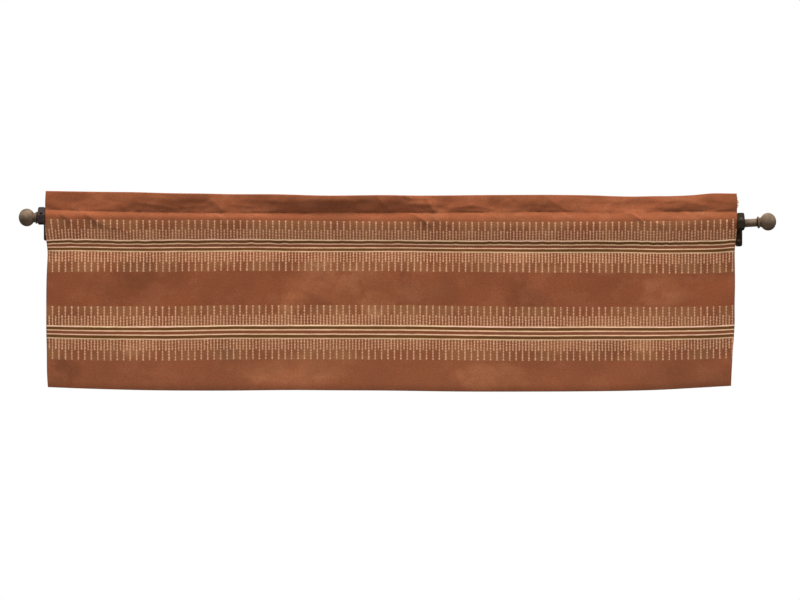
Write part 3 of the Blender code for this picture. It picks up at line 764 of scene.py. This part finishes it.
def print_knots(x, hang):
    """(height, place down the face) pairs, from the hem up, that hold the woven lines."""
    line = [read_smooth(LINES, column, x) for column in LINES[0]._fields[1:]]
    band = [-BLOCK_HALF - LONG_ABOVE, -BLOCK_HALF, BLOCK_HALF, BLOCK_HALF + LONG_BELOW]
    down = [UPPER_BAND + d for d in band] + [UPPER_BAND + REPEAT + d for d in band]
    crease = (hang["crease"], hang["top"] - hang["crease"])
    hem = (hang["hem"], down[-1] + line[-1] - hang["hem"])
    return [hem, *sorted(zip(line, down)), crease]


Seams = namedtuple("Seams", "tail back_seam back_crease back_top front_crease front_seam hem")


def cloth_section(x):
    """The middle of the cloth at one place along the rod, as (out, z, down the face): up the
    pocket's back, over the header, down the front and round the hem. Also which of the points
    lie on lines of stitching."""
    hang = {column: read_smooth(HANG, column, x) for column in HANG[0]._fields[1:]}
    hang["top"] = read_smooth(TOP_EDGE, "z", x)
    hang["crease"] += uneven(x, "crease")
    hang["seam"] += uneven(x, "seam")
    rod = read_smooth(ROD_LINE, "z", x)
    crease, seam = hang["crease"], hang["seam"]
    knots = print_knots(x, hang)
    side = pocket_side(crease - rod, seam - rod, HEADER_FORWARD, FRONT_STEPS)
    back_side = pocket_side(crease - rod, seam - rod, -HEADER_FORWARD, BACK_STEPS)

    # The pocket's front, pushed out from the rod's axis by its folds and gathers.
    front = []
    for out, up in side:
        z = rod + up
        push = fold_height(POCKET_FOLDS, crisp, x, z) + gathers(x, "under crease", crease - z)
        push = max(push + gathers(x, "over seam", z - seam), -DENT - abs(up) * DENT_SLOPE)
        push *= ease((crease - z) / PINNED) * ease((z - seam) / PINNED)
        turn = atan2(up, out)
        front.append((out + push * cos(turn), z + push * sin(turn), read_straight(knots, z)))

    # The header's two layers, and the fold over its top.
    fold = HALF_GAP + THICKNESS / 2
    top = hang["top"] - fold
    rise = top - crease
    stands = [0.0] + [read_smooth(HEADER, column, x) for column in HEADER[0]._fields[1:-1]]
    tuck = read_smooth(HEADER, "tuck", x)
    profile = table("z out", *((crease + rise * i / 4, stand) for i, stand in enumerate(stands)))

    def header_push(z):
        pinned = ease((z - crease) / PINNED)
        folds = fold_height(HEADER_FOLDS, crisp, x, z) + crumples(x, z, HEADER_CRUMPLES)
        return HEADER_FORWARD + read_smooth(profile, "out", z) + pinned * folds

    def bulge(z):
        t = min(max((z - crease) / rise, 0.0), 1.0)
        swell = HEADER_BULGE * (1 + uneven(x, "bulge")) * sin(pi * t ** BULGE_SKEW)
        lip = LIP * tuck * (1 - exp((crease - z) / TUCK_REACH)) * (1 - t)
        return swell + lip + gathers(x, "over crease", z - crease)

    def header_levels(steps):
        return [crease + rise * (i / steps) ** CROWDING for i in range(steps, 0, -1)]

    header_front = [(header_push(z) + HALF_GAP + bulge(z), z, top + fold - z)
                    for z in header_levels(HEADER_STEPS)]
    top_fold = [(out, z, (pi / 2 - atan2(z - top, out - header_push(top))) * HALF_GAP)
                for out, z in arc((header_push(top), top), HALF_GAP, pi, 0, BEND_STEPS)[1:-1]]

    # The back layer, from the top fold down to its raw edge.
    back = [(header_push(z) - HALF_GAP, z) for z in header_levels(BACK_HEADER_STEPS)]
    back += [(-out, rod + up) for out, up in back_side]
    back += [(-HALF_GAP, seam - POCKET_TAIL * i / 2) for i in (1, 2)]
    down = -pi / 2 * HALF_GAP
    back_layer = []
    for before, (out, z) in zip([back[0]] + back, back):
        down -= hypot(out - before[0], z - before[1])
        back_layer.append((out, z, down))

    # The panel, its bottom fold and its hem.
    bottom = hang["hem"] + fold

    def panel(z):
        share = (seam - z) / (seam - bottom)
        swing = FLARE * ease((seam - z) / FLARE_DEPTH)
        push = fold_height(PANEL_FOLDS, soft, x, z) + crumples(x, z, PANEL_CRUMPLES)
        push = push * ease((seam - z) / PANEL_PINNED) + gathers(x, "under seam", seam - z)
        return (HALF_GAP + swing + push + hang["belly"] * sin(pi * share)
                + hang["sweep"] * share ** 3)

    levels = [seam - FLARE_DEPTH * i / FLARE_STEPS for i in range(1, FLARE_STEPS + 1)]
    start = levels[-1]
    levels += [start + (bottom - start) * i / PANEL_STEPS for i in range(1, PANEL_STEPS + 1)]
    face = [(panel(z), z, read_straight(knots, z)) for z in levels]
    last = face[-1][2]
    bend = arc((panel(bottom) - HALF_GAP, bottom), HALF_GAP, 0, -pi, BEND_STEPS)
    bottom_fold = [(out, z, last + HALF_GAP * pi * (i + 1) / BEND_STEPS)
                   for i, (out, z) in enumerate(bend[1:])]
    last = bottom_fold[-1][2]
    turned_up = [HEM_DEPTH * i / HEM_STEPS for i in range(1, HEM_STEPS + 1)]
    hem = [(panel(bottom + up) - 2 * HALF_GAP, bottom + up, last + up) for up in turned_up]
    section = back_layer[::-1] + top_fold + header_front + front + face + bottom_fold + hem
    front_crease = len(back_layer) + len(top_fold) + len(header_front)
    seams = Seams(tail=0, back_seam=2, back_crease=2 + len(back_side) - 1,
                  back_top=len(back_layer) - 1, front_crease=front_crease,
                  front_seam=front_crease + len(front) - 1, hem=len(section) - 1)
    return section, seams


def side_edges(z):
    return -read_smooth(SIDES, "left", z), read_smooth(SIDES, "right", z)


def tick_lean(x, z):
    """How far the ticks above the upper stripes are drawn aside near the left end."""
    slope = LEAN_SLOPE * ease((z - LEAN_START) / (LEAN_END - LEAN_START))
    return slope * (min(z, LEAN_TOP) - LEAN_LEVEL) * exp((PRINT_LEFT - x) / LEAN_REACH)


def make_cloth():
    vertices, places = [], []
    half = HANG[-1].x
    for column in range(COLUMNS + 1):
        across = column / COLUMNS
        eased = across + MIDDLE_SHIFT * across * (1 - across)
        section, seams = cloth_section((2 * eased - 1) * half)
        rows = len(section)
        for out, z, down in section:
            left, right = side_edges(z)
            x = left + (right - left) * eased
            vertices.append((x * MM, -PROJECTION - out * MM, z * MM))
            share = (x + tick_lean(x, z) - PRINT_LEFT) / (PRINT_RIGHT - PRINT_LEFT)
            lower = ease((z - LOWER_START) / (LOWER_END - LOWER_START))
            share -= (MIDDLE_SHIFT - LOWER_SHIFT * lower) * share * (1 - share)
            places.append((share * CLOTH_WIDTH * MM, down * MM))
    faces = []
    for column in range(COLUMNS):
        for row in range(rows - 1):
            a = column * rows + row
            faces.append((a, a + 1, a + rows + 1, a + rows))
    edge = thread("serged_edge_thread", tone(214, 190, 160), tone(168, 136, 104))
    cloth = mesh_object("valance", (vertices, faces), face_cloth(), reverse_cloth(), edge)
    layer = cloth.data.uv_layers.new(name="Cloth")
    corners = [0] * len(cloth.data.loops)
    cloth.data.loops.foreach_get("vertex_index", corners)
    layer.data.foreach_set("uv", [value for corner in corners for value in places[corner]])
    set_up(cloth.modifiers.new("Thickness", "SOLIDIFY"), offset=0, thickness=THICKNESS * MM,
           material_offset=1, material_offset_rim=2)
    finish_piece(cloth, "cloth", "valance_cloth")

    grid = [[Vector(vertices[column * rows + row]) for column in range(COLUMNS + 1)]
            for row in range(rows)]
    return cloth, grid, seams


# ---- Stitching ----
def walk(path, pitch):
    """Places and directions at even steps along a path of points."""
    lengths = [0.0]
    for one, other in zip(path, path[1:]):
        lengths.append(lengths[-1] + (other - one).length)
    count = int(lengths[-1] / pitch)
    i = 0
    for k in range(count):
        distance = (k + 0.5) * lengths[-1] / count
        while lengths[i + 1] < distance:
            i += 1
        along = path[i + 1] - path[i]
        share = (distance - lengths[i]) / along.length
        yield path[i] + along * share, along.normalized()


def make_stitches(lines, material):
    """Lines of lockstitch: each stitch is a short thread that dips into the cloth at its ends.
    A line is a path of points and the side of the cloth it is seen on."""
    sides = THREAD_SIDES
    vertices, faces = [], []
    for path, side in lines:
        for place, along in walk(path, STITCH_PITCH):
            across = along.cross(side).normalized()
            first = len(vertices)
            for run, girth, lift in STITCH_SHAPE:
                centre = place + along * run * STITCH_HALF
                centre += side * (THICKNESS * MM / 2 + lift * THREAD_RADIUS)
                vertices += ring(centre, across, side, THREAD_RADIUS * girth, sides)
            for start in range(first, len(vertices) - sides, sides):
                for k in range(sides):
                    a, b = start + k, start + (k + 1) % sides
                    faces.append((a, b, b + sides, a + sides))
            faces.append(tuple(range(first, first + sides))[::-1])
            faces.append(tuple(range(len(vertices) - sides, len(vertices))))
    finish_piece(mesh_object("seam_stitches", (vertices, faces), material), "cloth")


def make_serging(name, path, outward, pitch, reach, material):
    """An overlock thread wound round a raw edge, a little loose and uneven."""
    turns = []
    for k, (place, _) in enumerate(walk(path, pitch / OVERLOCK_STEPS)):
        turn = 2 * pi * k / OVERLOCK_STEPS
        loose = 1 + uneven(k, "overlock")
        turns.append(place + outward * reach * cos(turn) * loose
                     + ROOM * (THICKNESS * MM / 2 + THREAD_RADIUS) * sin(turn))
    finish_piece(tube(name, turns, OVERLOCK_RADIUS, THREAD_SIDES, material), "cloth")


# ---- Rod and finials ----
def tube(name, centres, radius, sides, material):
    """A closed round tube along a list of points, a little rounded at its ends."""
    bm = bmesh.new()
    ends = table("girth inset", (0.0, 0.0), (0.94, 0.0), (1.0, 0.07))  # in radii
    rings = []
    count = len(centres)
    stations = [(centres[0], girth, inset) for girth, inset in ends]
    stations += [(centre, 1.0, 0.0) for centre in centres[1:-1]]
    stations += [(centres[-1], girth, -inset) for girth, inset in reversed(ends)]
    for i, (centre, girth, inset) in enumerate(stations):
        before = centres[max(min(i - 3, count - 2), 0)]
        after = centres[max(min(i - 1, count - 1), 1)]
        along = (after - before).normalized()
        side = along.cross(Vector((0, 0, 1))).normalized()
        up = side.cross(along)
        place = centre + along * inset * radius
        points = ring(place, side, up, radius * girth, sides) if girth else [place]
        rings.append([bm.verts.new(point) for point in points])
    for one, other in zip(rings, rings[1:]):
        for k in range(sides):
            loop = [one[k % len(one)], one[(k + 1) % len(one)],
                    other[(k + 1) % len(other)], other[k % len(other)]]
            bm.faces.new(list(dict.fromkeys(loop)))
    return mesh_object(name, bm, material)


def turned(name, profile, steps, material):
    """A solid turned about its own Z from (radius, height) points, top to bottom."""
    bm = bmesh.new()
    vertices = [bm.verts.new((radius, 0, height)) for radius, height in profile]
    edges = [bm.edges.new(pair) for pair in zip(vertices, vertices[1:])]
    bmesh.ops.spin(bm, geom=vertices + edges, axis=(0, 0, 1), cent=(0, 0, 0),
                   angle=2 * pi, steps=steps, use_merge=True)
    bmesh.ops.remove_doubles(bm, verts=bm.verts, dist=SAME_POINT)
    return mesh_object(name, bm, material)


def make_rod(brass):
    xs = [ROD_LEFT + TINY + (ROD_RIGHT - ROD_LEFT - 2 * TINY) * i / (ROD_STATIONS - 1)
          for i in range(ROD_STATIONS)]
    centres = [Vector((x, -PROJECTION, rod_height(x))) for x in xs]
    rod = tube("curtain_rod", centres, ROD_RADIUS, ROD_SIDES, brass)
    finish_piece(rod, "antique_brass", "rod")


def make_finial(label, collar_x, side, slope, brass):
    """A finial that points along the rod, to one side, up or down its slope."""
    junction = BALL_HALF_LENGTH * (1 - (NECK_RADIUS / BALL_RADIUS) ** 2) ** 0.5
    neck_angle = acos(NECK_RADIUS / BALL_RADIUS)
    ball = [(BALL_RADIUS * cos(angle), BALL_HALF_LENGTH * sin(angle))
            for angle in (pi / 2 - i * (pi / 2 + neck_angle - FILLET_TURN) / BALL_STEPS
                          for i in range(1, BALL_STEPS + 1))]
    bead = (COLLAR_RADIUS - BEAD_RADIUS, -FINIAL_REACH + BEAD_RADIUS + BEAD_LIFT)
    top, bottom = -junction - 2 * NECK_FILLET, bead[1] + BEAD_RADIUS
    neck = [(NECK_RADIUS + NECK_FILLET / 2, -junction - NECK_FILLET), (NECK_RADIUS, top),
            (NECK_RADIUS - NECK_WAIST, (top + bottom) / 2),
            (NECK_RADIUS, bottom + NECK_FILLET / 2)]
    collar = arc(bead, BEAD_RADIUS, pi / 2, -pi / 2, BEAD_STEPS)
    end = [(NECK_RADIUS, -FINIAL_REACH), (0, -FINIAL_REACH)]
    profile = [(0, BALL_HALF_LENGTH)] + ball + neck + collar + end
    finial = turned("ball_finial_" + label, profile, FINIAL_STEPS, brass)
    direction = Vector((side, 0, side * slope)).normalized()
    turn = direction.to_track_quat("Z", "Y").to_matrix().to_4x4()
    face = Vector((collar_x, -PROJECTION, rod_height(collar_x)))
    finial.matrix_world = Matrix.Translation(face + direction * FINIAL_REACH) @ turn
    finish_piece(finial, "antique_brass", "finial_" + label)


# ---- Brackets and screws ----
def dress_hardware():
    """The brackets and the screws are the CAD nodes."""
    for metal in HARDWARE:
        material = dark_metal(metal)
        for name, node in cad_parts.items():
            if metal.kind in name and metal.side in name:
                for slot in node.material_slots:
                    slot.material = material


def round_brackets():
    for label in ("left", "right"):
        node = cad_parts["bracket_" + label]
        set_up(node.modifiers.new("Join", "WELD"), merge_threshold=TINY)
        set_up(node.modifiers.new("Rounded", "BEVEL"), width=EDGE_ROUNDING, segments=2,
               limit_method="ANGLE", angle_limit=SHARP_ANGLE, harden_normals=True)


# ---- Studio ----
def make_camera():
    lens = SENSOR_WIDTH * CAMERA_DISTANCE / (PICTURE_WIDTH_PX * METRES_PER_PX)
    camera = set_up(bpy.data.cameras.new("camera"), sensor_width=SENSOR_WIDTH, lens=lens)
    place = (PICTURE_MIDDLE[0], CLOTH_FACE_Y - CAMERA_DISTANCE, PICTURE_MIDDLE[1])
    bpy.context.scene.camera = set_up(add_object("camera", camera), location=place,
                                      rotation_euler=(pi / 2, 0, 0))


def make_world():
    """White behind the object, with a softer light from all round, stronger from above."""
    g = Graph(bpy.data.worlds.new("studio"))
    reflected = g.add("LightPath", {}, output="Is Glossy Ray")
    seen = g.add("LightPath", {}, output="Is Camera Ray")
    ends = {end: g.add("MapRange", {"Value": reflected, "To Min": light, "To Max": mirrored})
            for end, (light, mirrored) in SKY.items()}
    height = g.add("SeparateXYZ", {0: g.add("TexCoord", {}, output="Generated")}, output="Z")
    strength = g.add("MapRange", {"Value": height, **ends}, interpolation_type="SMOOTHSTEP")
    around = g.add("Background", {"Color": WHITE, "Strength": strength})
    backdrop = g.add("Background", {"Color": WHITE})
    either = g.add("MixShader", {0: seen, 1: around, 2: backdrop})
    g.feed(g.tree.nodes["World Output"], {"Surface": either})
    bpy.context.scene.world = g.owner
    bpy.context.scene.view_settings.view_transform = "Standard"


def area_light(lamp):
    width, height = lamp.size
    light = set_up(bpy.data.lights.new(lamp.name, "AREA"), shape="RECTANGLE", size=width,
                   size_y=height, energy=lamp.power)
    towards = Vector(lamp.target) - Vector(lamp.place)
    set_up(add_object(lamp.name, light), location=lamp.place,
           rotation_euler=towards.to_track_quat("-Z", "Y").to_euler(),
           visible_glossy=False)  # the metals reflect the studio, not the lamp


def make_floor():
    g, place = new_material("pale_floor")
    cloud = g.noise(place, 2.5, detail=4)
    colour = g.mix(cloud, tone(226, 225, 222), tone(236, 235, 233))
    pale = g.finish(Base_Color=colour, Roughness=0.7)
    floor = mesh_object("floor", (FLOOR_CORNERS, [(0, 1, 2, 3)]), pale)
    floor.location = (0, 0, FLOOR_Z)
    floor.visible_diffuse = False  # it is seen, but throws no light up
    floor.visible_glossy = False


# ---- The whole scene ----
make_camera()
make_world()
for lamp in LAMPS:
    area_light(lamp)
make_floor()

cloth, grid, seams = make_cloth()
rust_thread = thread("rust_sewing_thread", tone(150, 92, 62), tone(112, 64, 40))
beige_thread = thread("beige_overlock_thread", tone(236, 214, 186), tone(206, 178, 146))
make_stitches([
    (grid[seams.front_crease], ROOM), (grid[seams.front_seam], ROOM),
    (grid[seams.back_crease], -ROOM), (grid[seams.back_seam], -ROOM),
    (grid[seams.hem - 1], -ROOM),
], rust_thread)
make_serging("serged_tail", grid[seams.tail], Vector((0, 0, -1)), TAIL_PITCH, TAIL_REACH,
             beige_thread)
end_edge = [grid[row][-1] for row in range(seams.back_crease + 2, seams.back_top)]
make_serging("serged_header_end", end_edge, Vector((1, 0, 0)), END_PITCH, END_REACH, beige_thread)
brass = antique_brass()
make_rod(brass)
left_slope = (rod_height(ROD_LEFT + SLOPE_STEP) - rod_height(ROD_LEFT)) / SLOPE_STEP
make_finial("left", ROD_LEFT - PIECE_GAP, -1, left_slope, brass)
make_finial("right", ROD_RIGHT + PIECE_GAP, 1, RIGHT_FINIAL_TILT, brass)
dress_hardware()
round_brackets()

bpy.context.view_layer.update()
